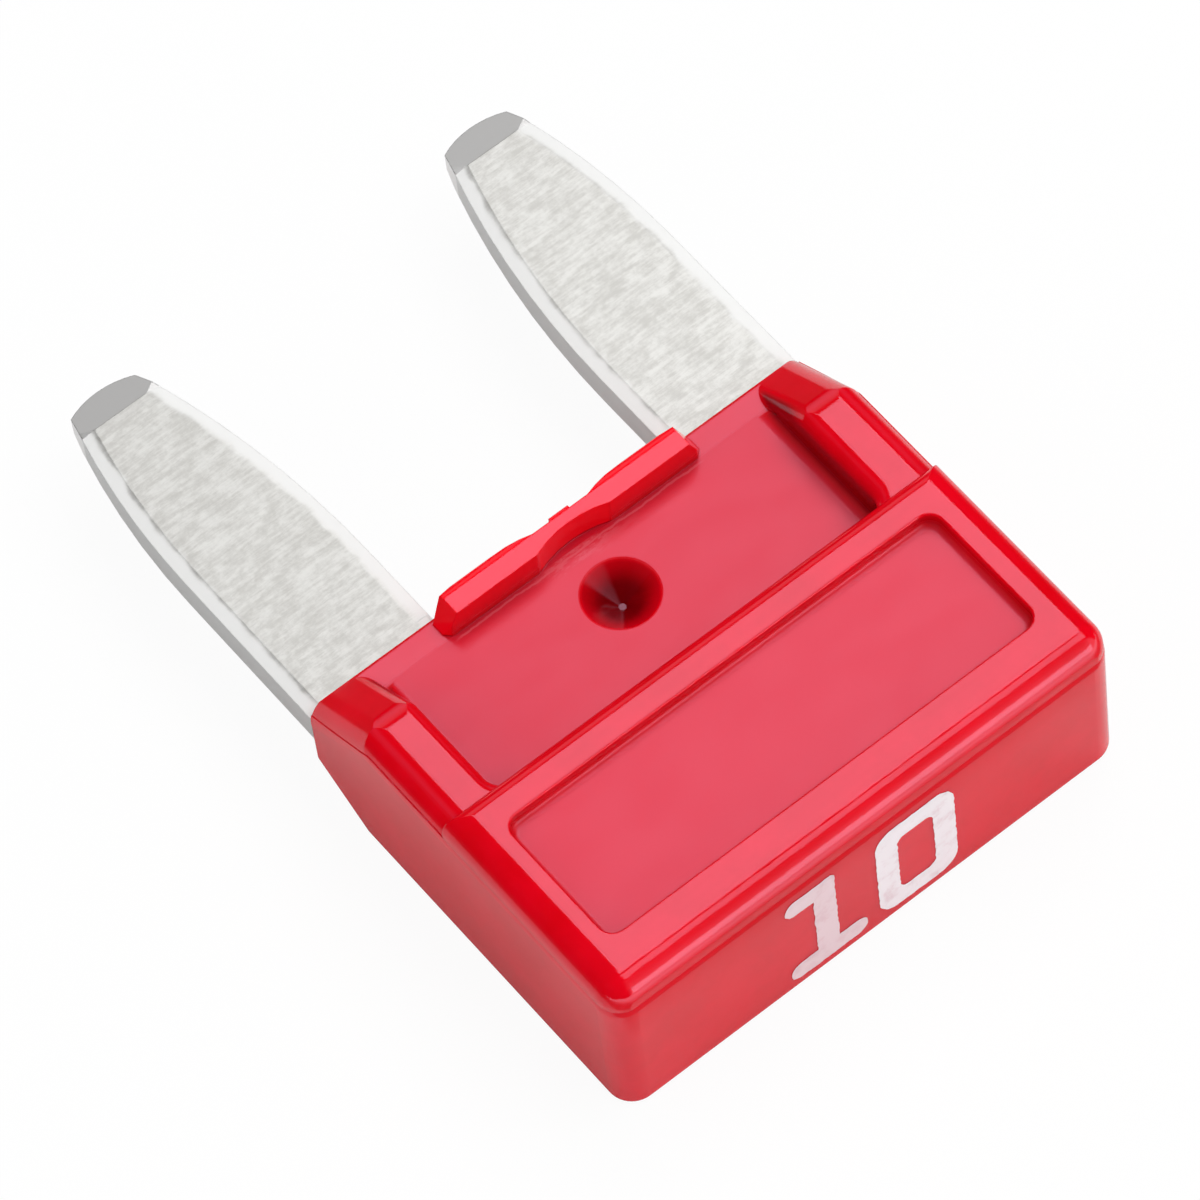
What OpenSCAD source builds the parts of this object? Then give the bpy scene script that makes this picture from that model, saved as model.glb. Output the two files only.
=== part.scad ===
// Miniature automotive blade fuse, lying on its back.
// X runs across the width, +Y towards the blade tips, and the back rests on z = 0.
// The origin is below the centre of the whole fuse. All sizes are in millimetres.

/* [Housing] */
// Width of the housing across both side walls
body_w = 10.9; // [9.6:0.1:14]
// Length of the housing from the head face to the blade end
body_l = 8.5; // [7.8:0.1:12]
// Thickness of the body, from the back to the side rails
body_t = 3.65; // [3.1:0.05:5]
// Height of the raised head above the side rails
head_rise = 0.25; // [0.1:0.05:0.5]
// Length of the raised head along the fuse
head_l = 4.65; // [4:0.05:5.2]
// Radius of the head's upright corners
corner_r = 0.5; // [0.4:0.02:1]
// Radius of the upright corners at the blade end
end_corner_r = 0.08; // [0.04:0.01:0.3]
// Radius of the long front edges
front_edge_r = 0.5; // [0.3:0.02:0.5]
// Radius of the edges round the back
back_edge_r = 0.15; // [0.05:0.05:0.3]
// Radius of the head's edge above the panel
head_edge_r = 0.3; // [0.1:0.05:0.4]
// Step inwards at the mould line, above which the front half of the mould begins
mould_step = 0.02; // [0.01:0.01:0.05]
// Length of the slope at the blade end
slope_l = 1.55; // [1:0.05:2]
// Depth of the slope at the blade end
slope_d = 1.03; // [0.6:0.01:1.2]
// Radius where the rails turn down into the slope
slope_start_r = 0.7; // [0.3:0.1:1.5]
// Size of the small chamfer where the panel and the slope meet the blade end
end_chamfer = 0.08; // [0.02:0.01:0.15]
// Distance from the side rails down to the mould line
mould_line_d = 0.35; // [0.2:0.05:0.6]
// Distance before the slope at which the mould line starts to fall
mould_line_lead = 0.2; // [0:0.05:0.5]
// Fall of the mould line from there to the blade end
mould_line_fall = 1; // [0.5:0.05:1.2]

/* [Panel] */
// Width of the sunk panel at the foot of its walls
panel_w = 8.44; // [7.4:0.02:9]
// Depth of the panel below the side rails
panel_d = 0.95; // [0.6:0.05:1.05]
// Radius of the panel's upright corners
panel_corner_r = 0.36; // [0.26:0.02:1]
// Radius where the panel floor meets its walls
panel_foot_r = 0.24; // [0.1:0.02:0.26]
// Radius of the rails' inner edges
panel_rim_r = 0.28; // [0.1:0.02:0.35]
// Radius of the staking dimple at the panel floor
dimple_r = 0.73; // [0.5:0.01:1]
// Depth of the staking dimple
dimple_d = 0.46; // [0.3:0.02:0.7]
// Radius of the dimple's blunt tip
dimple_tip_r = 0.07; // [0.03:0.01:0.2]
// Distance from the blade end to the middle of the dimple
dimple_from_end = 1.8; // [1.5:0.05:2.2]

/* [Lip] */
// Width of the lip at the mouth, at its foot
lip_w = 5.66; // [4:0.02:6]
// Depth of the lip along the fuse
lip_l = 0.58; // [0.4:0.02:0.75]
// Height of the lip above the panel floor
lip_h = 0.63; // [0.3:0.01:0.8]
// Distance that each end of the lip leans in at its top
lip_lean = 0.28; // [0.05:0.01:0.4]
// Size of the flats that cut the lip's inner corners
lip_flat = 0.14; // [0.06:0.02:0.35]
// Radius of the lip's outer edge
lip_edge_r = 0.22; // [0.1:0.02:0.35]
// Distance from the middle of the fuse to the crest of each swell in the lip's outer face
swell_x = 1.75; // [1.2:0.01:2]
// Radius of each swell
swell_r = 3.4; // [3:0.2:9]
// Radius of the shallow hollow in the lip's inner face
hollow_r = 2.1; // [1.2:0.1:4]
// Depth of the hollow
hollow_d = 0.16; // [0.05:0.01:0.2]
// Depth of the dip between the swells
dip_d = 0.2; // [0.08:0.01:0.24]
// Width of the nub in the middle of the dip
nub_w = 0.42; // [0.2:0.02:0.6]
// Height of the nub
nub_h = 0.06; // [0.02:0.01:0.1]

/* [Label recess] */
// Width of the shallow recess in the head
label_w = 9.32; // [7:0.02:9.4]
// Length of the recess
label_l = 2.88; // [2:0.02:2.9]
// Depth of the recess
label_d = 0.3; // [0.1:0.05:0.4]
// Distance from the head face to the recess
label_from_face = 1.04; // [0.8:0.01:1.1]
// Radius of the recess corners
label_corner_r = 0.3; // [0.16:0.02:0.6]
// Radius at the foot of the recess walls
label_foot_r = 0.14; // [0.05:0.01:0.15]
// Radius of the recess rim
label_rim_r = 0.04; // [0.02:0.01:0.09]

/* [Blades] */
// Length that the blades stand out of the housing
blade_l = 7.8; // [6:0.1:10]
// Width of one blade
blade_w = 2.8; // [2.4:0.05:3.1]
// Distance between the middles of the blades
blade_pitch = 8; // [7.8:0.05:8.1]
// Thickness of the strip that the blades are stamped from
strip_t = 0.8; // [0.6:0.02:0.9]
// Length of the bevel at each tip
tip_l = 0.73; // [0.4:0.01:1.2]
// Thickness left at the very tip
tip_t = 0.34; // [0.2:0.02:0.5]
// Radius of the crown of each tip
tip_crown_r = 1.4; // [1.2:0.1:3]
// Radius of the curve along each outer edge
outer_curve_r = 15.5; // [12:0.5:30]
// Length of the curved part of each outer edge
outer_curve_l = 4.2; // [3:0.1:5]
// Radius of the curve along each inner edge
inner_curve_r = 18.6; // [14:0.5:30]
// Length of the curved part of each inner edge
inner_curve_l = 5.8; // [4:0.1:6]
// Width of the coined band along each edge
coin_w = 0.28; // [0.1:0.02:0.4]
// Depth of the coined band
coin_d = 0.05; // [0.02:0.01:0.1]

/* [Inside] */
// Thickness of the side walls beside the strip
side_wall = 0.5; // [0.4:0.05:0.6]
// Thickness of the head wall
head_wall = 1; // [0.8:0.05:1.6]
// Clearance round the strip in its slot
strip_gap = 0.05; // [0.02:0.01:0.1]
// Width of each leg inside the housing
leg_w = 2.25; // [1.6:0.05:2.3]
// Half width of the pinched seam between the legs
seam_half_w = 0.45; // [0.3:0.05:0.8]
// Radius of the boss round the dimples
boss_r = 1; // [0.8:0.05:1.4]
// Radius of the fusible arch at its middle line
arch_r = 1.35; // [0.9:0.05:1.6]
// Width of the fusible arch
arch_w = 0.55; // [0.3:0.05:0.8]
// Thickness of the fusible arch
arch_t = 0.3; // [0.15:0.05:0.5]
// Distance from the head wall to the crown of the arch
arch_gap = 0.6; // [0.3:0.05:0.9]
// Radius of the weak spot in the crown
weak_r = 0.12; // [0.05:0.01:0.14]

/* [Hidden] */
$fn = 64;
over = 1;
join = 0.3;
overall_l = body_l + blade_l;
front_z = body_t + head_rise;
middle_z = body_t / 2;
slope_y = body_l - slope_l;
slope_angle = atan2(slope_d, slope_l);
panel_z = body_t - panel_d;
mould_line_z = body_t - mould_line_d;
mould_line_end_z = mould_line_z - mould_line_fall;
dimple_y = body_l - dimple_from_end;
blade_inner_x = (blade_pitch - blade_w) / 2;
blade_outer_x = (blade_pitch + blade_w) / 2;
leg_outer_x = body_w / 2 - side_wall - strip_gap;
leg_inner_x = leg_outer_x - leg_w;
leg_y = head_wall + strip_gap;
arch_y = head_wall + arch_gap + arch_r + arch_w / 2;

// Carries a shape drawn on the front to the back, across the middle of the strip
module to_back() {
    translate([0, 0, 2 * middle_z]) mirror([0, 0, 1]) children();
}

// Puts its children on both the left and the right
module both_sides() {
    children();
    mirror([1, 0, 0]) children();
}

// A profile drawn as (along the fuse, height), extruded across the width
module across(width) {
    rotate([90, 0, 90]) linear_extrude(height = width, center = true) children();
}

// A profile drawn as (across, height), extruded along the fuse
module along(from_y, to_y) {
    translate([0, to_y, 0]) rotate([90, 0, 0]) linear_extrude(height = to_y - from_y) children();
}

// Edge section of a block: front edge rounded by front_r, back edge by back_r
module edge_section(reach, high, front_r, back_r) {
    intersection() {
        square([reach, high]);
        union() {
            translate([-reach, back_r]) square([2 * reach, high - front_r - back_r]);
            translate([-reach, 0]) square([2 * reach - back_r, back_r]);
            translate([-reach, high - front_r]) square([2 * reach - front_r, front_r]);
            translate([reach - front_r, high - front_r]) circle(front_r);
            translate([reach - back_r, back_r]) circle(back_r);
        }
    }
}

// Block whose head end has rounded corners and rolled edges, and whose far end is square
module rounded_block(width, length, high, plan_r, front_r, back_r) {
    half = width / 2 - plan_r;
    both_sides() translate([half, plan_r, 0]) rotate_extrude() edge_section(plan_r, high, front_r, back_r);
    along(plan_r, length) both_sides() edge_section(width / 2, high, front_r, back_r);
    translate([0, plan_r, 0]) across(2 * half) mirror([1, 0]) edge_section(plan_r, high, front_r, back_r);
}

// Wall section of a pocket, open above: foot rounded inwards, rim rolled outwards
module pocket_section(reach, depth, foot_r, rim_r) {
    intersection() {
        translate([0, -depth]) square([reach + rim_r, depth + over]);
        union() {
            translate([-reach, foot_r - depth]) square([2 * reach, depth - foot_r + over]);
            translate([-reach, -depth]) square([2 * reach - foot_r, foot_r]);
            translate([reach - foot_r, foot_r - depth]) circle(foot_r);
            difference() {
                translate([reach - join, -rim_r]) square([rim_r + join, rim_r + over]);
                translate([reach + rim_r, -rim_r]) circle(rim_r);
            }
        }
    }
}

// Pocket with two rounded corners at y = 0, running on to y = length
module pocket_run(width, length, depth, plan_r, foot_r, rim_r) {
    half = width / 2 - plan_r;
    both_sides() translate([half, plan_r, 0]) rotate_extrude() pocket_section(plan_r, depth, foot_r, rim_r);
    along(plan_r, length) both_sides() pocket_section(width / 2, depth, foot_r, rim_r);
    translate([0, plan_r, 0]) across(2 * half) mirror([1, 0]) pocket_section(plan_r, depth, foot_r, rim_r);
}

// Turns what is drawn along the rails down onto the front slope
module down_slope() {
    translate([0, slope_y, body_t]) rotate([-slope_angle, 0, 0]) translate([0, -slope_y, -body_t]) children();
}

// Block with the rails and the slope: the same rolled edges run straight and then down the slope
module sloping_block(width) {
    intersection() {
        rounded_block(width, body_l, body_t, corner_r, front_edge_r, back_edge_r);
        down_slope() translate([0, 0, -body_l]) along(-body_l, 2 * body_l) both_sides()
            edge_section(width / 2, body_l + body_t, front_edge_r, back_edge_r);
    }
}

// Zone above the mould line, which falls beside the front slope
module front_mould_zone() {
    across(2 * body_w) polygon([
        [-over, mould_line_z],
        [slope_y - mould_line_lead, mould_line_z],
        [body_l, mould_line_end_z],
        [body_l + over, mould_line_end_z],
        [body_l + over, front_z + over],
        [-over, front_z + over]
    ]);
}

// Outline of the blade end, with its upright corners rounded
module end_corners() {
    linear_extrude(height = front_z + over) union() {
        translate([-body_w / 2, -over]) square([body_w, body_l + over - end_corner_r]);
        translate([end_corner_r - body_w / 2, 0]) square([body_w - 2 * end_corner_r, body_l]);
        both_sides() translate([body_w / 2 - end_corner_r, body_l - end_corner_r]) circle(end_corner_r);
    }
}

// The raised head, with its edge above the panel rolled over
module head_block() {
    intersection() {
        rounded_block(body_w - 2 * mould_step, head_l, front_z, corner_r, front_edge_r, back_edge_r);
        across(2 * body_w) union() {
            translate([-over, 0]) square([head_l + over - head_edge_r, front_z]);
            square([head_l, front_z - head_edge_r]);
            translate([head_l - head_edge_r, front_z - head_edge_r]) circle(head_edge_r);
        }
    }
}

// Outer form of the housing before anything is cut from it
module outer_form() {
    intersection() {
        union() {
            difference() {
                sloping_block(body_w);
                front_mould_zone();
            }
            intersection() {
                union() {
                    sloping_block(body_w - 2 * mould_step);
                    head_block();
                }
                front_mould_zone();
                translate([-body_w, mould_step, 0]) cube([2 * body_w, body_l, front_z]);
            }
        }
        end_corners();
    }
}

// Wedge taken off the back of the blade end
module back_slope_cut() {
    rise = slope_d / slope_l;
    to_back() across(2 * body_w) polygon([
        [slope_y, body_t],
        [body_l + over, body_t - slope_d - over * rise],
        [body_l + over, front_z + over],
        [slope_y, front_z + over]
    ]);
}

// Sliver that rounds the turn from the rails to the slope
module slope_start_cut() {
    centre_y = slope_y - slope_start_r * tan(slope_angle / 2);
    far = slope_start_r + join;
    across(2 * body_w) translate([centre_y, body_t - slope_start_r]) difference() {
        polygon([[0, 0], [0, far], [far * sin(slope_angle), far * cos(slope_angle)]]);
        circle(slope_start_r);
    }
}

// Small chamfer along the front of the blade end
module end_chamfer_cut() {
    across(2 * body_w) polygon([
        [body_l - end_chamfer, panel_z],
        [body_l, panel_z - 2 * end_chamfer],
        [body_l + over, panel_z - 2 * end_chamfer],
        [body_l + over, front_z],
        [body_l - end_chamfer, front_z]
    ]);
}

// The rolled inner edge of a rail, as what it takes away beside the panel's wall and above its foot
module rim_section() {
    difference() {
        translate([panel_w / 2 - panel_foot_r, body_t - panel_rim_r])
            square([panel_foot_r + panel_rim_r, panel_rim_r + over]);
        translate([panel_w / 2 + panel_rim_r, body_t - panel_rim_r]) circle(panel_rim_r);
    }
}

// The sunk panel, which runs out through the blade end; its rolled edges follow the slope
module panel_cut() {
    intersection() {
        union() {
            translate([0, head_l, body_t])
                pocket_run(panel_w, body_l, panel_d, panel_corner_r, panel_foot_r, panel_rim_r);
            down_slope() along(slope_y - join, body_l + over) both_sides() rim_section();
        }
        translate([-body_w, head_l, panel_z]) cube([2 * body_w, body_l, front_z + over]);
    }
}

// The staking dimple, a blunt cone in the panel floor
module dimple_cut() {
    translate([0, dimple_y, panel_z]) rotate_extrude() polygon([
        [0, -dimple_d],
        [dimple_tip_r, -dimple_d],
        [dimple_r, 0],
        [dimple_r, over / 4],
        [0, over / 4]
    ]);
}

// The shallow recess in the head, closed all round
module label_cut(top_z) {
    half = label_l / 2;
    translate([0, label_from_face + half, top_z]) union() {
        translate([0, -half, 0])
            pocket_run(label_w, half + join, label_d, label_corner_r, label_foot_r, label_rim_r);
        mirror([0, 1, 0]) translate([0, -half, 0])
            pocket_run(label_w, half + join, label_d, label_corner_r, label_foot_r, label_rim_r);
    }
}

// Plan of the lip: two swells and a nub along its outer face, and a shallow hollow in its inner face
module lip_plan() {
    inner_y = body_l - lip_l;
    half_w = lip_w / 2;
    difference() {
        intersection() {
            both_sides() polygon([
                [0, inner_y],
                [half_w - lip_flat, inner_y],
                [half_w, inner_y + lip_flat],
                [half_w, body_l],
                [0, body_l]
            ]);
            union() {
                both_sides() translate([swell_x, body_l - swell_r]) circle(swell_r, $fn = 180);
                translate([-swell_x, 0]) square([2 * swell_x, body_l - dip_d]);
                translate([-nub_w / 2, 0]) square([nub_w, body_l - dip_d + nub_h]);
            }
        }
        translate([0, inner_y + hollow_d - hollow_r]) circle(hollow_r, $fn = 180);
    }
}

// The lip on the front face of the mouth, rounded along its outer edge and leaning in at its ends
module lip() {
    top_z = panel_z + lip_h;
    root_z = panel_z - panel_d / 4;
    intersection() {
        translate([0, 0, root_z]) linear_extrude(height = top_z - root_z) lip_plan();
        across(lip_w) union() {
            translate([0, root_z]) square([body_l - lip_edge_r, top_z - root_z]);
            translate([0, root_z]) square([body_l, top_z - lip_edge_r - root_z]);
            translate([body_l - lip_edge_r, top_z - lip_edge_r]) circle(lip_edge_r);
        }
        along(0, body_l) polygon([
            [-lip_w / 2, root_z],
            [lip_w / 2, root_z],
            [lip_w / 2, panel_z],
            [lip_w / 2 - lip_lean, top_z],
            [lip_lean - lip_w / 2, top_z],
            [-lip_w / 2, panel_z]
        ]);
    }
}

// Slot that holds the strip, with the two walls joined round the dimples and along the seam
module strip_slot() {
    half_x = leg_outer_x + strip_gap;
    half_z = strip_t / 2 + strip_gap;
    difference() {
        translate([-half_x, head_wall, middle_z - half_z]) cube([2 * half_x, body_l, 2 * half_z]);
        translate([0, dimple_y, 0]) cylinder(r = boss_r, h = front_z);
        translate([-seam_half_w, dimple_y, 0]) cube([2 * seam_half_w, body_l - dimple_y, front_z]);
    }
}

module housing() {
    color([0.86, 0.06, 0.13]) difference() {
        union() {
            difference() {
                outer_form();
                slope_start_cut();
                end_chamfer_cut();
                back_slope_cut();
                panel_cut();
                to_back() panel_cut();
                label_cut(front_z);
                to_back() label_cut(body_t);
            }
            lip();
            to_back() lip();
        }
        dimple_cut();
        to_back() dimple_cut();
        strip_slot();
    }
}

// Section across one blade, coined along both faces of its outer edge at x = reach
module coined_section(reach) {
    half = strip_t / 2;
    polygon([
        [0, -half],
        [reach - coin_w, -half],
        [reach, coin_d - half],
        [reach, half - coin_d],
        [reach - coin_w, half],
        [0, half]
    ]);
}

// Solid bounded by one long edge of a blade: straight from the housing, then curved in to the tip
module edge_guide(curve_r, curve_l) {
    start_y = overall_l - curve_l;
    translate([-curve_r, start_y, middle_z]) rotate_extrude($fn = 180) coined_section(curve_r);
    translate([-curve_r, 0, middle_z]) along(0, start_y) coined_section(curve_r);
}

module blade() {
    tip_x = (blade_inner_x + blade_outer_x) / 2 + tip_shift();
    bevel_y = overall_l - tip_l;
    crown_y = overall_l - tip_crown_r;
    intersection() {
        translate([blade_inner_x, body_l, 0]) cube([blade_w, blade_l, front_z]);
        translate([blade_outer_x, 0, 0]) edge_guide(outer_curve_r, outer_curve_l);
        translate([blade_inner_x, 0, 0]) mirror([1, 0, 0]) edge_guide(inner_curve_r, inner_curve_l);
        translate([0, 0, middle_z]) across(2 * body_w) polygon([
            [0, -strip_t / 2],
            [bevel_y, -strip_t / 2],
            [overall_l, -tip_t / 2],
            [overall_l, tip_t / 2],
            [bevel_y, strip_t / 2],
            [0, strip_t / 2]
        ]);
        union() {
            cube([body_w, crown_y + tip_crown_r / 3, front_z]);
            translate([tip_x, crown_y, 0]) cylinder(r = tip_crown_r, h = front_z);
        }
    }
}

// How far an edge has curved in at the tip
function curved_in(curve_r, curve_l) = curve_r - sqrt(curve_r * curve_r - curve_l * curve_l);

// Sideways shift of the tip, because the inner edge curves in more than the outer one
function tip_shift() = (curved_in(inner_curve_r, inner_curve_l) - curved_in(outer_curve_r, outer_curve_l)) / 2;

// Leg of the strip inside the housing; the wider blade seats on the housing's end
module leg() {
    translate([leg_inner_x, leg_y, middle_z - strip_t / 2])
        cube([leg_w, body_l - leg_y + join, strip_t]);
}

// The thin arch that melts, with a foot to each leg and a weak spot in its crown
module fusible_arch() {
    translate([0, 0, middle_z - arch_t / 2]) difference() {
        union() {
            translate([0, arch_y, 0]) rotate([0, 0, 180]) rotate_extrude(angle = 180)
                translate([arch_r - arch_w / 2, 0]) square([arch_w, arch_t]);
            both_sides() translate([arch_r - arch_w / 2, arch_y, 0])
                cube([leg_inner_x + join - arch_r + arch_w / 2, arch_w, arch_t]);
        }
        translate([0, arch_y - arch_r, -over]) cylinder(r = weak_r, h = arch_t + 2 * over);
    }
}

module fuse_element() {
    color([0.82, 0.82, 0.8]) union() {
        both_sides() {
            blade();
            leg();
        }
        fusible_arch();
    }
}

translate([0, -overall_l / 2, 0]) {
    housing();
    fuse_element();
}
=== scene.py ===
from math import cos, pi, radians, sin

import bpy
from mathutils import Matrix, Vector, noise


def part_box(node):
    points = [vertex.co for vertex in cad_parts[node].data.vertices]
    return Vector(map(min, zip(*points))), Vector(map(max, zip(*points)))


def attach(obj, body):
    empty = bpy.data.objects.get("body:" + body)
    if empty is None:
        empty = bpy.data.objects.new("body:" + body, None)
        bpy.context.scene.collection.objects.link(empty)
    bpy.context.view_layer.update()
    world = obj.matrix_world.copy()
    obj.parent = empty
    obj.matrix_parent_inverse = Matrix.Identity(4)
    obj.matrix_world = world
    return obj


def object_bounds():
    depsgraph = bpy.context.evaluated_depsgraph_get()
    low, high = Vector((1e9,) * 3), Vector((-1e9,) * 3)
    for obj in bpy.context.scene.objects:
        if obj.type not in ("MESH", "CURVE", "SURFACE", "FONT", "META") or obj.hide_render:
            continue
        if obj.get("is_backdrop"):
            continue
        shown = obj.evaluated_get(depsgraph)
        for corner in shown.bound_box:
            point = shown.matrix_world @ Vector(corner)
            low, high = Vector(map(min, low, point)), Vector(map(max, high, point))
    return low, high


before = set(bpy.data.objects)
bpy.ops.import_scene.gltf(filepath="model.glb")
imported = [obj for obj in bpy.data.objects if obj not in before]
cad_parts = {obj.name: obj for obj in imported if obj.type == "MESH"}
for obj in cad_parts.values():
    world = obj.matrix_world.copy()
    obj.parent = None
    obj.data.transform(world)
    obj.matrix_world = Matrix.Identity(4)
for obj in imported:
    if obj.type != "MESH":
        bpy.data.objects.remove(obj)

MM = 0.001
scene = bpy.context.scene

# The boxes of the two pieces give every place below
housing_low, housing_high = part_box("housing")
element_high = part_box("fuse_element")[1]
cad_low, cad_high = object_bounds()

# Camera, from the photograph: where it stands round the object, and what it points at
CAMERA_AZIMUTH = radians(-31.42)
CAMERA_ELEVATION = radians(59.43)
CAMERA_ROLL = radians(-8.37)
CAMERA_DISTANCE = 155.5 * MM
CAMERA_AIM = Vector((0.48, 0.04, 0.0)) * MM
FOCAL_LENGTH = 267.2
SENSOR = 36.0

# Light levels, where 1 is white
FLOOR_WHITE_TO_CAMERA = 0.94
SKY_LIGHT = 0.44
SKY_IN_REFLECTIONS = 0.005
SKY_BEHIND_IN_REFLECTIONS = 0.8
SKY_IN_FRONT_IN_REFLECTIONS = (0.3, 1.3)
CARD_IN_REFLECTIONS = 2.4

# Lamps: direction, width, length, radiance where 1 is white, and whether surfaces mirror the lamp
LAMP_REACH = 260 * MM
LAMPS = {
    # The flat faces mirror the top box, and the rolled front edge mirrors the two front boxes
    "top_box": ((0.37, 0.30, 0.88), 141 * MM, 130 * MM, 3.5, True),
    "front_box": ((0.40, -0.21, 0.89), 150 * MM, 97 * MM, 2.5, True),
    "low_front_box": ((0.38, -0.90, 0.21), 150 * MM, 100 * MM, 3.3, True),
    # Plain light without a mirror image
    "upper_fill": ((0.30, -0.35, 0.89), 150 * MM, 150 * MM, 2.1, False),
    "left_fill": ((-0.85, 0.10, 0.50), 170 * MM, 150 * MM, 1.6, False),
}

# Floor: its size, its colours, and how far from the fuse its mirror image takes painted shade or a painted
# glowing card
FLOOR_HALF_SIDE = 400 * MM
FLOOR_BELOW_FUSE = 0.02 * MM
FLOOR_COLOUR = (0.85, 0.85, 0.85, 1.0)
FLOOR_MIRRORED_NEAR = (0.72, 0.72, 0.72, 1.0)
FLOOR_MIRRORED_AWAY = (0.08, 0.08, 0.08, 1.0)
FLOOR_DARKENS = (9 * MM, 16 * MM)
FLOOR_DARKENS_IN_FRONT = (1.0 * MM, 2.0 * MM)
FLOOR_DARK_IN_FRONT = 0.8
CARD_LIGHTS_UP = (3.5 * MM, 17 * MM)
WHITE = (1.0, 1.0, 1.0, 1.0)
BLACK = (0.0, 0.0, 0.0, 1.0)

# Textures: repeats per metre, detail, roughness, and for some the stretch along x, y and z
CLOUDS = (700.0, 4.0, 0.6)
FLOW_MARKS = (1500.0, 3.0, 0.55, (0.6, 1.2, 1.0))
ORANGE_PEEL = (2600.0, 2.0, 0.5)
WRINKLES = (3200.0, 3.0, 0.6, (0.22, 1.4, 1.4))
SCUFF_PATCHES = (2400.0, 5.0, 0.7, (0.5, 1.6, 1.0))
SCUFF_WANDER = (1600.0, 4.0, 0.7)
EDGE_WANDER = (1800.0, 3.0, 0.6)
SCRATCHES = (12000.0, 4.0, 0.7, (0.16, 1.0, 1.0))
MOTTLE = (3800.0, 6.0, 0.7)
INK_WEAR = (3000.0, 4.0, 0.6)

# Red plastic: colours with painted light in the lip, shares of painted shade, roughness and depth of the
# surface marks
RED_PLAIN = (0.66, 0.0006, 0.006, 1.0)
RED_CLOUDED = (0.73, 0.001, 0.010, 1.0)
# Painted light: the thin lip's red is brighter, as light passes through it
RED_PAINTED_LIT_THROUGH = (0.98, 0.001, 0.010, 1.0)
RED_SATIN = (0.68, 0.010, 0.028, 1.0)
SCUFF_COLOUR = (0.80, 0.30, 0.36, 1.0)
SCUFF_SHARE = 0.3
# Painted shade in hollows, in the dimple and on the panel's side walls
SHADE_IN_HOLLOWS = 0.52
PAINTED_SHADE_OF_DIMPLE = (0.3, 0.76)
PAINTED_SHADE_OF_SIDE_WALLS = 0.6
GLOSS_ROUGHNESS = (0.07, 0.11)
SATIN_ROUGHNESS = 0.14
SATIN_OF_FEET = 1.6
PANEL_FOOT = 0.24 * MM
RECESS_FOOT = 0.18 * MM
WRINKLE_HEIGHT = 2.2
PLASTIC_BUMP = 0.0025 * MM
EDGE_ROUNDING = 0.03 * MM

# Metal and ink: colours, roughness and depth of the surface marks
METAL_DARK = (0.68, 0.67, 0.64, 1.0)
METAL_BRIGHT = (0.87, 0.865, 0.84, 1.0)
METAL_AT_SIDES = (0.74, 0.74, 0.73, 1.0)
METAL_AT_EDGES = (0.82, 0.82, 0.81, 1.0)
METAL_AT_TIPS = (0.96, 0.95, 0.94, 1.0)
METALLIC_AT_EDGES = 0.15
METAL_ROUGHNESS = (0.46, 0.54)
METAL_BUMP = 0.006 * MM
INK_COLOUR = (0.90, 0.84, 0.87, 1.0)
INK_WORN = (0.78, 0.64, 0.68, 1.0)
INK_THIN = (0.72, 0.42, 0.46, 1.0)
INK_THIN_SHARE = 0.5
INK_ROUGHNESS = 0.45
INK_BUMP = 0.006 * MM

# Places on the housing, and how far a hollow spreads painted shade round it
PANEL_Z = housing_high.z - 1.2 * MM
RECESS_Z = housing_high.z - 0.3 * MM
DIMPLE_Y = housing_high.y - 1.8 * MM
DIMPLE_RADIUS = 0.7 * MM
LIP_FOOT_Y = housing_high.y - 0.58 * MM
LIP_HALF_WIDTH = 2.83 * MM
PANEL_HALF_WIDTH = 4.22 * MM
PANEL_FRONT_Y = housing_high.y - 3.85 * MM
RECESS_HALF_WIDTH = 4.66 * MM
RECESS_FRONT_Y = housing_low.y + 1.04 * MM
RECESS_BACK_Y = housing_low.y + 3.92 * MM
HOLLOW_REACH = 0.9 * MM

# Outline of the blades, as in the solids
BLADE_INNER_X = 2.6 * MM
BLADE_OUTER_X = 5.4 * MM
OUTER_CURVE_RADIUS = 15.5 * MM
INNER_CURVE_RADIUS = 18.6 * MM
OUTER_CURVE_START = element_high.y - 4.2 * MM
INNER_CURVE_START = element_high.y - 5.8 * MM
TIP_LENGTH = 0.73 * MM

# Printed number on the head face: heights are measured down from the head's front
PRINT_TOP = 0.95 * MM
PRINT_HEIGHT = 2.63 * MM
STROKE = 0.47 * MM
INK_THICKNESS = 0.01 * MM
ONE_LEFT, ONE_RIGHT = -1.85 * MM, -0.17 * MM
ONE_STEM = -1.25 * MM
ZERO_LEFT, ZERO_RIGHT = 0.1 * MM, 1.82 * MM
ZERO_CORNER = 0.42 * MM
INK_EDGE_SHIFT = 0.02 * MM
INK_EDGE_WAVE = 0.12 * MM
INK_EDGE_STEP = 0.05 * MM


def write_sizes(name_of_box, low, high, sizes):
    sizes[name_of_box] = [[float(v) for v in low], [float(v) for v in high]]


def make_camera():
    """A camera at the photograph's viewing angle, aimed at one point of the table."""
    direction = Vector((
        sin(CAMERA_AZIMUTH) * cos(CAMERA_ELEVATION),
        -cos(CAMERA_AZIMUTH) * cos(CAMERA_ELEVATION),
        sin(CAMERA_ELEVATION),
    ))
    data = bpy.data.cameras.new("photo_camera")
    data.sensor_fit = "HORIZONTAL"
    data.sensor_width = SENSOR
    data.lens = FOCAL_LENGTH
    data.clip_start = 1 * MM
    data.clip_end = 10.0
    camera = bpy.data.objects.new("photo_camera", data)
    turn = direction.to_track_quat("Z", "Y").to_matrix().to_4x4()
    turn = turn @ Matrix.Rotation(CAMERA_ROLL, 4, "Z")
    camera.matrix_world = Matrix.Translation(CAMERA_AIM + direction * CAMERA_DISTANCE) @ turn
    scene.collection.objects.link(camera)
    scene.camera = camera


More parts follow.
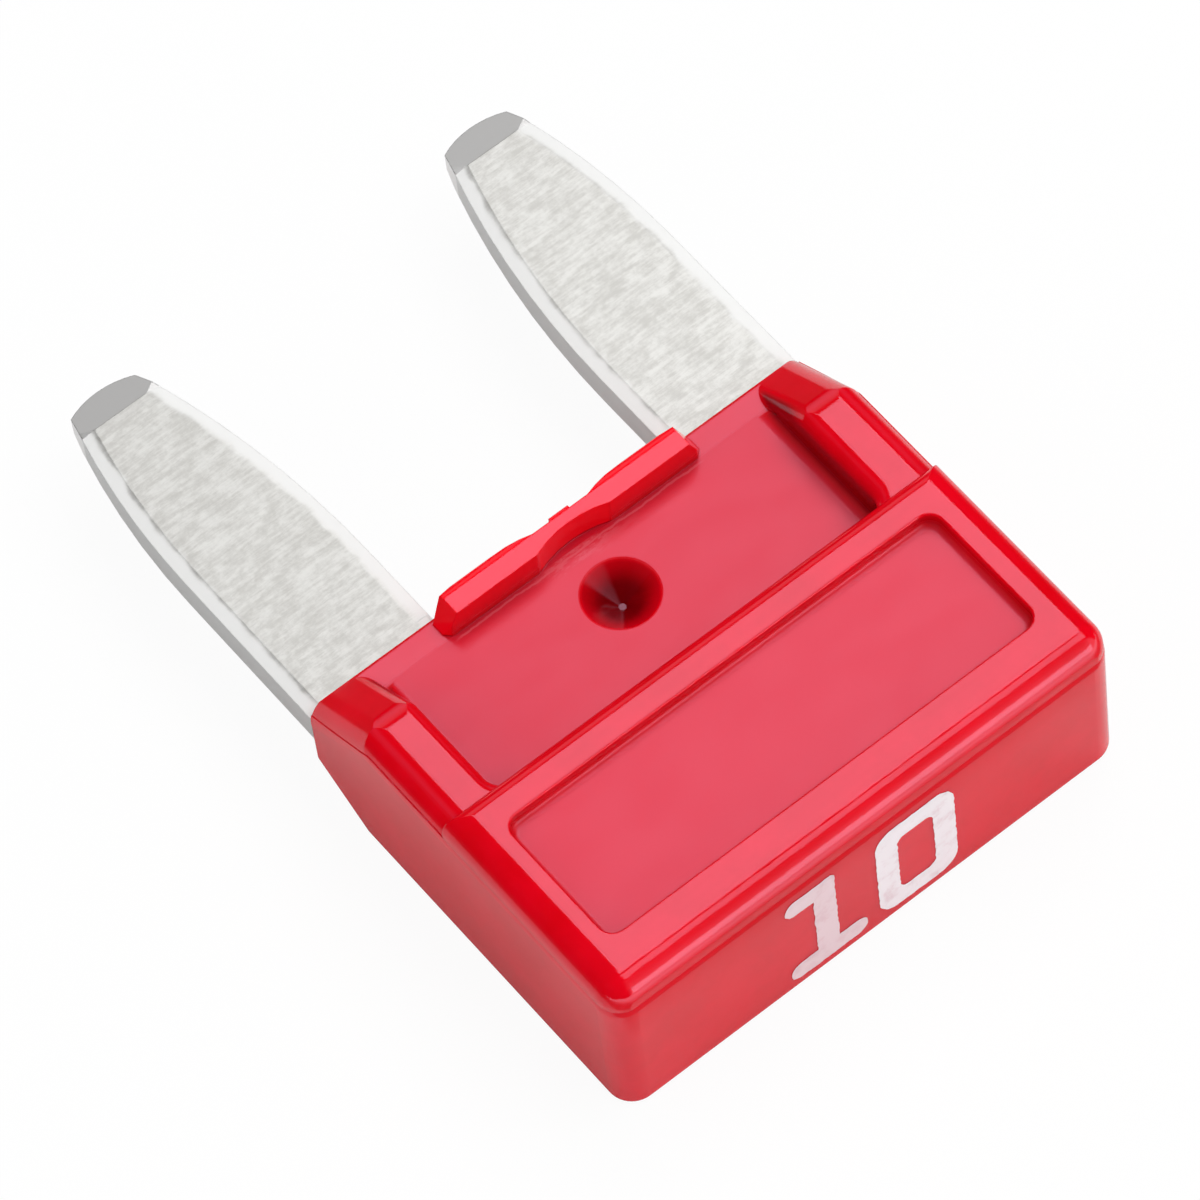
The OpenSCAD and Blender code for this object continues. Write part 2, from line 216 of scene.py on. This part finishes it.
class Nodes:
    """Short calls for building one material's or world's node tree."""

    def __init__(self, tree):
        self.tree = tree
        self.tree.nodes.clear()

    def add(self, kind, inputs=(), **settings):
        node = self.tree.nodes.new(kind)
        for key, value in settings.items():
            setattr(node, key, value)
        for key, value in dict(inputs).items():
            self.put(node, key, value)
        return node

    def put(self, node, key, value):
        if isinstance(value, bpy.types.NodeSocket):
            self.tree.links.new(value, node.inputs[key])
        else:
            node.inputs[key].default_value = value

    def math(self, operation, first, second=0.0):
        return self.add("ShaderNodeMath", {0: first, 1: second}, operation=operation).outputs[0]

    def product(self, first, *others):
        for other in others:
            first = self.math("MULTIPLY", first, other)
        return first

    def total(self, first, *others):
        for other in others:
            first = self.math("ADD", first, other)
        return first

    def minus(self, first, second):
        return self.math("SUBTRACT", first, second)

    def apart(self, first, second):
        """The distance between two values."""
        return self.math("ABSOLUTE", self.minus(first, second))

    def ramp(self, value, start, end, low=0.0, high=1.0):
        """Smooth step from low to high as value goes from start to end."""
        inputs = {"Value": value, "From Min": start, "From Max": end, "To Min": low, "To Max": high}
        return self.add("ShaderNodeMapRange", inputs, interpolation_type="SMOOTHSTEP").outputs["Result"]

    def fade(self, value, start, end):
        """Smooth step from 1 to 0 as value goes from start to end."""
        return self.ramp(value, start, end, 1.0, 0.0)

    def axes(self, vector):
        """The x, y and z of a vector."""
        return self.add("ShaderNodeSeparateXYZ", {0: vector}).outputs

    def place(self):
        """A point of the object, in its own axes."""
        return self.add("ShaderNodeTexCoord").outputs["Object"]

    def upward(self):
        """How far the true surface faces up, where 1 is level."""
        return self.axes(self.add("ShaderNodeNewGeometry").outputs["True Normal"])[2]

    def noise(self, place, scale, detail, roughness, stretch=(1.0, 1.0, 1.0)):
        mapping = self.add("ShaderNodeMapping", {"Vector": place, "Scale": stretch})
        inputs = {"Vector": mapping.outputs[0], "Scale": scale, "Detail": detail, "Roughness": roughness}
        return self.add("ShaderNodeTexNoise", inputs).outputs["Fac"]

    def mix(self, factor, first, second):
        node = self.add("ShaderNodeMix", {0: factor, 6: first, 7: second}, data_type="RGBA")
        return node.outputs[2]

    def bump(self, height, distance, strength, normal=None):
        inputs = {"Height": height, "Distance": distance, "Strength": strength}
        node = self.add("ShaderNodeBump", inputs)
        if normal is not None:
            self.put(node, "Normal", normal)
        return node.outputs[0]


def new_material(name):
    material = bpy.data.materials.new(name)
    material.use_nodes = True
    return material, Nodes(material.node_tree)


def finish_material(nodes, inputs):
    shader = nodes.add("ShaderNodeBsdfPrincipled", inputs)
    output = nodes.add("ShaderNodeOutputMaterial")
    nodes.tree.links.new(shader.outputs[0], output.inputs["Surface"])


def rounded_normal(nodes):
    """Softens sharp edges in the shading."""
    return nodes.add("ShaderNodeBevel", {"Radius": EDGE_ROUNDING}, samples=4).outputs[0]


def at_height(nodes, z, height):
    """1 on the level floor at this height, and 0 away from it."""
    return nodes.product(
        nodes.fade(nodes.apart(z, height), 0.015 * MM, 0.04 * MM),
        nodes.ramp(nodes.upward(), 0.8, 0.99),
    )


def in_pocket(nodes, xyz, half_width, from_y, to_y, floor_z, foot):
    """1 on a pocket's floor and the round foot of its walls, and 0 elsewhere."""
    x, y, z = xyz
    half_length = (to_y - from_y) / 2
    above = nodes.minus(z, floor_z)
    return nodes.product(
        nodes.fade(nodes.apart(y, (from_y + to_y) / 2), half_length, half_length + 0.04 * MM),
        nodes.fade(nodes.math("ABSOLUTE", x), half_width, half_width + 0.04 * MM),
        nodes.ramp(above, -0.04 * MM, -0.01 * MM),
        nodes.fade(above, foot / 2, foot),
    )


def in_dimple(nodes, xyz):
    """1 inside the conical dimple, and 0 outside."""
    x, y, z = xyz
    square = nodes.total(nodes.math("POWER", x, 2.0), nodes.math("POWER", nodes.minus(y, DIMPLE_Y), 2.0))
    return nodes.product(
        nodes.fade(nodes.math("SQRT", square), DIMPLE_RADIUS, DIMPLE_RADIUS + 0.04 * MM),
        nodes.ramp(nodes.minus(PANEL_Z, z), 0.0, 0.06 * MM),
    )


def in_side_walls(nodes, xyz):
    """1 on the hollow walls beside the panel, and 0 elsewhere."""
    x, y, z = xyz
    outward = nodes.minus(nodes.math("ABSOLUTE", x), PANEL_HALF_WIDTH)
    above = nodes.minus(z, PANEL_Z)
    return nodes.product(
        nodes.ramp(outward, -0.35 * MM, -0.1 * MM),
        nodes.fade(outward, 0.08 * MM, 0.2 * MM),
        nodes.ramp(above, 0.0, 0.15 * MM),
        nodes.fade(above, 0.5 * MM, 0.85 * MM),
        nodes.ramp(y, PANEL_FRONT_Y - 0.1 * MM, PANEL_FRONT_Y + 0.1 * MM),
    )


def in_lip(nodes, xyz):
    """1 in the thin lip between the blades, which light passes into, and 0 elsewhere."""
    x, y, z = xyz
    return nodes.product(
        nodes.ramp(y, LIP_FOOT_Y - 0.03 * MM, LIP_FOOT_Y + 0.03 * MM),
        nodes.fade(nodes.math("ABSOLUTE", x), LIP_HALF_WIDTH, LIP_HALF_WIDTH + 0.1 * MM),
        nodes.ramp(z, PANEL_Z, PANEL_Z + 0.05 * MM),
    )


def scuff_mask(nodes, place, xyz):
    """Patchy pale marks that the mould left on the panel along the inner foot of the lip."""
    x, y, z = xyz
    from_middle = nodes.math("ABSOLUTE", x)
    from_foot = nodes.minus(LIP_FOOT_Y, y)
    smear = nodes.product(
        nodes.fade(from_middle, 0.2 * MM, 1.5 * MM),
        nodes.fade(from_foot, 0.02 * MM, 0.45 * MM),
        nodes.ramp(nodes.noise(place, *SCUFF_PATCHES), 0.46, 0.60),
    )
    wander = nodes.product(nodes.noise(place, *SCUFF_WANDER), 0.14 * MM)
    line = nodes.product(
        nodes.fade(nodes.apart(from_foot, nodes.total(wander, 0.02 * MM)), 0.008 * MM, 0.03 * MM),
        0.8,
        nodes.fade(from_middle, 2.5 * MM, 2.8 * MM),
    )
    return nodes.product(
        nodes.math("MAXIMUM", smear, line),
        nodes.ramp(from_foot, -0.02 * MM, 0.02 * MM),
        at_height(nodes, z, PANEL_Z),
    )


def red_plastic():
    """Tinted, glossy moulded plastic with faint clouds and flow marks, with painted shade where it is hollow
    and painted light in the thin lip.
    """
    material, nodes = new_material("red_plastic")
    place = nodes.place()
    xyz = nodes.axes(place)
    y, z = xyz[1:]
    flow = nodes.noise(place, *FLOW_MARKS)
    lip = in_lip(nodes, xyz)
    # Floors of the panel and the recess are satin, and so are the round feet of their walls
    level = nodes.math("MAXIMUM", at_height(nodes, z, PANEL_Z), at_height(nodes, z, RECESS_Z))
    feet = nodes.math(
        "MAXIMUM",
        in_pocket(nodes, xyz, PANEL_HALF_WIDTH, PANEL_FRONT_Y, LIP_FOOT_Y, PANEL_Z, PANEL_FOOT),
        in_pocket(nodes, xyz, RECESS_HALF_WIDTH, RECESS_FRONT_Y, RECESS_BACK_Y, RECESS_Z, RECESS_FOOT),
    )
    satin = nodes.math("MAXIMUM", level, nodes.product(feet, SATIN_OF_FEET))
    clouds = nodes.ramp(nodes.noise(place, *CLOUDS), 0.3, 0.7)
    colour = nodes.mix(clouds, RED_PLAIN, RED_CLOUDED)
    # Painted light: the thin lip is a brighter red, standing for light passing through it
    colour = nodes.mix(lip, colour, RED_PAINTED_LIT_THROUGH)
    colour = nodes.mix(level, colour, RED_SATIN)
    # Painted shade: hollows are darker, the dimple darkens with its depth, and the panel's side walls are
    # darkened, all except the thin lip
    ao_painted_shade = nodes.add("ShaderNodeAmbientOcclusion", {"Distance": HOLLOW_REACH}, samples=4, only_local=True)
    ao_painted_shade = nodes.ramp(ao_painted_shade.outputs["AO"], 0.2, 0.7, SHADE_IN_HOLLOWS, 1.0)
    depth = nodes.minus(PANEL_Z, z)
    painted_depth_shade = nodes.math(
        "MAXIMUM",
        nodes.product(in_dimple(nodes, xyz), nodes.ramp(depth, 0.02 * MM, 0.3 * MM, *PAINTED_SHADE_OF_DIMPLE)),
        nodes.product(in_side_walls(nodes, xyz), PAINTED_SHADE_OF_SIDE_WALLS),
    )
    shade = nodes.product(nodes.math("MAXIMUM", ao_painted_shade, lip), nodes.minus(1.0, painted_depth_shade))
    colour = nodes.mix(shade, BLACK, colour)
    colour = nodes.mix(nodes.product(scuff_mask(nodes, place, xyz), SCUFF_SHARE), colour, SCUFF_COLOUR)
    # The rolled front edge is wrinkled, and the rest has a faint orange peel
    wrinkles = nodes.product(
        nodes.noise(place, *WRINKLES),
        nodes.fade(y, housing_low.y + 0.45 * MM, housing_low.y + 0.7 * MM),
        nodes.ramp(z, housing_high.z - 0.6 * MM, housing_high.z - 0.4 * MM),
        WRINKLE_HEIGHT,
    )
    orange_peel = nodes.noise(place, *ORANGE_PEEL)
    height = nodes.total(nodes.product(orange_peel, 0.5), nodes.product(flow, 0.5), wrinkles)
    rough = nodes.total(nodes.ramp(flow, 0.3, 0.75, *GLOSS_ROUGHNESS), nodes.product(satin, SATIN_ROUGHNESS))
    finish_material(nodes, {
        "Base Color": colour,
        "Roughness": rough,
        "IOR": 1.5,
        "Specular Tint": (1.0, 0.74, 1.0, 1.0),
        "Subsurface Weight": 0.3,
        "Subsurface Radius": (1.0, 0.06, 0.08),
        "Subsurface Scale": 0.5 * MM,
        "Normal": nodes.bump(height, PLASTIC_BUMP, 0.6, rounded_normal(nodes)),
    })
    return material


def edge_distance(nodes, across_x, along_y):
    """How far a point of a blade's face is from the nearer of the blade's two long edges."""
    def drawn(start, radius):
        beyond = nodes.math("MAXIMUM", nodes.minus(along_y, start), 0.0)
        return nodes.product(nodes.math("POWER", beyond, 2.0), 0.5 / radius)

    outer_x = nodes.minus(BLADE_OUTER_X, drawn(OUTER_CURVE_START, OUTER_CURVE_RADIUS))
    inner_x = nodes.total(drawn(INNER_CURVE_START, INNER_CURVE_RADIUS), BLADE_INNER_X)
    return nodes.math("MINIMUM", nodes.minus(outer_x, across_x), nodes.minus(across_x, inner_x))


def zinc_alloy():
    """Bright stamped metal: scratched across the blades, smoother along their edges and at their tips."""
    material, nodes = new_material("zinc_alloy")
    place = nodes.place()
    x, y = nodes.axes(place)[:2]
    wander = nodes.product(nodes.minus(nodes.noise(place, *EDGE_WANDER), 0.5), 0.25 * MM)
    edge = nodes.total(edge_distance(nodes, nodes.math("ABSOLUTE", x), y), wander)
    middle = nodes.ramp(edge, 0.16 * MM, 0.34 * MM)
    from_end = nodes.minus(element_high.y, y)
    before_tip = nodes.ramp(from_end, TIP_LENGTH - 0.03 * MM, TIP_LENGTH + 0.01 * MM)
    scratched = nodes.product(middle, before_tip)
    scratches = nodes.noise(place, *SCRATCHES)
    mottle = nodes.noise(place, *MOTTLE)
    marks = nodes.total(nodes.product(scratches, 0.5), nodes.product(mottle, 0.5))
    worn = nodes.mix(nodes.ramp(marks, 0.36, 0.64), METAL_DARK, METAL_BRIGHT)
    up = nodes.ramp(nodes.upward(), 0.8, 0.95)
    smooth = nodes.mix(before_tip, METAL_AT_TIPS, nodes.mix(up, METAL_AT_SIDES, METAL_AT_EDGES))
    pressed_edge = nodes.product(nodes.minus(1.0, middle), up, before_tip)
    height = nodes.product(marks, nodes.ramp(scratched, 0.0, 1.0, 0.15, 1.0))
    finish_material(nodes, {
        "Base Color": nodes.mix(scratched, smooth, worn),
        "Metallic": nodes.ramp(pressed_edge, 0.0, 1.0, 1.0, METALLIC_AT_EDGES),
        "Roughness": nodes.ramp(scratched, 0.0, 1.0, *METAL_ROUGHNESS),
        "Normal": nodes.bump(height, METAL_BUMP, 0.5, rounded_normal(nodes)),
    })
    return material


def white_ink():
    """Slightly uneven white print, thinner on the left digit."""
    material, nodes = new_material("white_ink")
    place = nodes.place()
    x = nodes.axes(place)[0]
    wear = nodes.noise(place, *INK_WEAR)
    colour = nodes.mix(nodes.ramp(wear, 0.28, 0.52), INK_WORN, INK_COLOUR)
    thin = nodes.ramp(x, ONE_RIGHT, ZERO_LEFT, INK_THIN_SHARE, 0.0)
    finish_material(nodes, {
        "Base Color": nodes.mix(thin, colour, INK_THIN),
        "Roughness": INK_ROUGHNESS,
        "Normal": nodes.bump(wear, INK_BUMP, 0.5),
    })
    return material


def paint_node(name, material):
    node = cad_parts[name]
    node.data.materials.clear()
    node.data.materials.append(material)
    for polygon in node.data.polygons:
        polygon.use_smooth = True


def arc(centre, radius, start, end, steps=10):
    """Points on an arc, from start to end in degrees."""
    turns = [radians(start + (end - start) * i / steps) for i in range(steps + 1)]
    return [(centre[0] + radius * cos(a), centre[1] + radius * sin(a)) for a in turns]


def rounded_box(left, right, bottom, top, radius):
    """Anticlockwise outline of a rectangle with equal round corners."""
    return (
        arc((right - radius, top - radius), radius, 0, 90)
        + arc((left + radius, top - radius), radius, 90, 180)
        + arc((left + radius, bottom + radius), radius, 180, 270)
        + arc((right - radius, bottom + radius), radius, 270, 360)
    )


def densified(outline, step):
    """The outline with extra points, so that its edge can be roughened."""
    points = []
    for i, start in enumerate(outline):
        end = outline[(i + 1) % len(outline)]
        length = ((end[0] - start[0]) ** 2 + (end[1] - start[1]) ** 2) ** 0.5
        count = max(1, int(length / step))
        points += [tuple(start[k] + (end[k] - start[k]) * j / count for k in (0, 1)) for j in range(count)]
    return points


def roughened(outline):
    """The outline moved slightly, as ink runs on a moulded face."""
    rough = []
    for x, z in densified(outline, INK_EDGE_STEP):
        place = Vector((x, 0.0, z)) / INK_EDGE_WAVE
        rough.append((
            x + INK_EDGE_SHIFT * noise.noise(place),
            z + INK_EDGE_SHIFT * noise.noise(place + Vector((9.0, 4.0, 7.0))),
        ))
    return rough


def ink_piece(name, outer, inner, material):
    """A thin film on the head face, with an optional hole."""
    curve = bpy.data.curves.new(name, "CURVE")
    curve.dimensions = "2D"
    curve.fill_mode = "FRONT"
    for outline in filter(None, (outer, inner)):
        spline = curve.splines.new("POLY")
        points = roughened(outline)
        spline.points.add(len(points) - 1)
        for point, (x, z) in zip(spline.points, points):
            point.co = (x, z, 0.0, 1.0)
        spline.use_cyclic_u = True
    flat = bpy.data.objects.new(name + "_outline", curve)
    scene.collection.objects.link(flat)
    bpy.context.view_layer.update()
    mesh = bpy.data.meshes.new_from_object(flat)
    bpy.data.objects.remove(flat)
    mesh.transform(Matrix.Rotation(pi / 2, 4, "X"))
    mesh.transform(Matrix.Translation((0.0, housing_low.y - INK_THICKNESS, 0.0)))
    mesh.name = name
    mesh.materials.clear()
    mesh.materials.append(material)
    piece = bpy.data.objects.new(name, mesh)
    scene.collection.objects.link(piece)
    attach(piece, "root")


def outline_of_one(top, bottom):
    """A stem with a flag at the top left and a foot across the bottom, in strokes of equal width."""
    round_r = STROKE / 2
    stem_right = ONE_STEM + STROKE
    return (
        arc((ONE_LEFT + round_r, top - round_r), round_r, 270, 90)
        + [(stem_right - round_r / 3, top)]
        + [(stem_right, top - round_r / 3)]
        + [(stem_right, bottom + STROKE)]
        + arc((ONE_RIGHT - round_r, bottom + round_r), round_r, 90, -90)
        + arc((ONE_LEFT + round_r, bottom + round_r), round_r, 270, 90)
        + [(ONE_STEM, bottom + STROKE)]
        + [(ONE_STEM, top - STROKE)]
    )


def make_print(material):
    top = housing_high.z - PRINT_TOP
    bottom = top - PRINT_HEIGHT
    ink_piece("print_one", outline_of_one(top, bottom), None, material)
    outer = rounded_box(ZERO_LEFT, ZERO_RIGHT, bottom, top, ZERO_CORNER)
    inner = rounded_box(
        ZERO_LEFT + STROKE, ZERO_RIGHT - STROKE, bottom + STROKE, top - STROKE, ZERO_CORNER - STROKE / 2)
    ink_piece("print_zero", outer, inner, material)


def make_floor():
    """A plain pale table, which keeps a soft shadow of the fuse; in its mirror image it has painted shade and
    a painted glowing card.
    """
    mesh = bpy.data.meshes.new("floor")
    half = FLOOR_HALF_SIDE
    corners = [(-half, -half, 0.0), (half, -half, 0.0), (half, half, 0.0), (-half, half, 0.0)]
    mesh.from_pydata(corners, [], [(0, 1, 2, 3)])
    floor = bpy.data.objects.new("floor", mesh)
    floor.location.z = -FLOOR_BELOW_FUSE
    scene.collection.objects.link(floor)
    material, nodes = new_material("floor")
    path = nodes.add("ShaderNodeLightPath").outputs
    x, y = nodes.axes(nodes.place())[:2]
    beside = nodes.minus(nodes.math("ABSOLUTE", x), cad_high.x)
    beyond = nodes.minus(nodes.math("ABSOLUTE", y), cad_high.y)
    in_front = nodes.minus(cad_low.y, y)
    # Painted shade in reflections: far from the fuse the mirrored floor goes dark, and just in front of it
    # darker, standing for its shadow
    dark = nodes.math(
        "MAXIMUM",
        nodes.ramp(nodes.math("MAXIMUM", beside, beyond), *FLOOR_DARKENS),
        nodes.ramp(in_front, *FLOOR_DARKENS_IN_FRONT, 0.0, FLOOR_DARK_IN_FRONT),
    )
    mirrored = nodes.mix(dark, FLOOR_MIRRORED_NEAR, FLOOR_MIRRORED_AWAY)
    colour = nodes.mix(path["Is Glossy Ray"], FLOOR_COLOUR, mirrored)
    diffuse = nodes.add("ShaderNodeBsdfDiffuse", {"Color": colour})
    # Mirrored by the rolled front edge, it has a painted glowing card on it, seen only in reflections, and
    # seen by the camera it is white
    card = nodes.ramp(in_front, *CARD_LIGHTS_UP, 0.0, CARD_IN_REFLECTIONS)
    lit = nodes.add("ShaderNodeEmission", {
        "Color": WHITE,
        "Strength": nodes.product(card, path["Is Glossy Ray"]),
    })
    both = nodes.add("ShaderNodeAddShader", {0: diffuse.outputs[0], 1: lit.outputs[0]})
    white = nodes.add("ShaderNodeEmission", {"Color": WHITE, "Strength": 1.0})
    seen = nodes.product(path["Is Camera Ray"], FLOOR_WHITE_TO_CAMERA)
    mixed = nodes.add("ShaderNodeMixShader", {0: seen, 1: both.outputs[0], 2: white.outputs[0]})
    output = nodes.add("ShaderNodeOutputMaterial")
    nodes.tree.links.new(mixed.outputs[0], output.inputs["Surface"])
    mesh.materials.append(material)
    floor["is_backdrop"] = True


def soft_box(name, direction, width, length, radiance, mirrored):
    """A rectangular lamp with its sides along the fuse's own axes."""
    data = bpy.data.lights.new(name, "AREA")
    data.shape = "RECTANGLE"
    data.size, data.size_y = width, length
    data.energy = radiance * pi * width * length
    lamp = bpy.data.objects.new(name, data)
    back = Vector(direction).normalized()
    side = (Vector((1.0, 0.0, 0.0)) - back * back.x).normalized()
    axes = Matrix((side, back.cross(side), back)).transposed()
    lamp.matrix_world = Matrix.Translation(back * LAMP_REACH) @ axes.to_4x4()
    lamp.visible_glossy = mirrored
    scene.collection.objects.link(lamp)


def make_world():
    """White to the camera, plain light for the surfaces, and mostly dark in reflections."""
    world = bpy.data.worlds.new("studio")
    scene.world = world
    world.use_nodes = True
    nodes = Nodes(world.node_tree)
    path = nodes.add("ShaderNodeLightPath").outputs
    x, y, z = nodes.axes(nodes.add("ShaderNodeTexCoord").outputs["Generated"])
    behind = nodes.product(
        nodes.ramp(y, 0.6, 0.75),
        nodes.ramp(z, 0.2, 0.4, 0.0, SKY_BEHIND_IN_REFLECTIONS),
    )
    in_front = nodes.product(
        nodes.ramp(y, -0.35, -0.5),
        nodes.ramp(z, 0.85, 0.3, *SKY_IN_FRONT_IN_REFLECTIONS),
    )
    to_the_right = nodes.ramp(x, -0.1, 0.2)
    mirrored = nodes.total(nodes.product(nodes.total(behind, in_front), to_the_right), SKY_IN_REFLECTIONS)
    glossy = nodes.math("MAXIMUM", path["Is Glossy Ray"], path["Is Transmission Ray"])
    strength = nodes.ramp(path["Is Camera Ray"], 0.0, 1.0, SKY_LIGHT, 1.0)
    strength = nodes.add("ShaderNodeMix", {0: glossy, 2: strength, 3: mirrored}, data_type="FLOAT").outputs[0]
    background = nodes.add("ShaderNodeBackground", {"Color": WHITE, "Strength": strength})
    output = nodes.add("ShaderNodeOutputWorld")
    nodes.tree.links.new(background.outputs[0], output.inputs["Surface"])


sizes = {}
write_sizes("cad", cad_low, cad_high, sizes)
scene.view_settings.view_transform = "Standard"
make_camera()
paint_node("housing", red_plastic())
paint_node("fuse_element", zinc_alloy())
make_print(white_ink())
make_floor()
for lamp, settings in LAMPS.items():
    soft_box(lamp, *settings)
make_world()
write_sizes("visual", *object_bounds(), sizes)
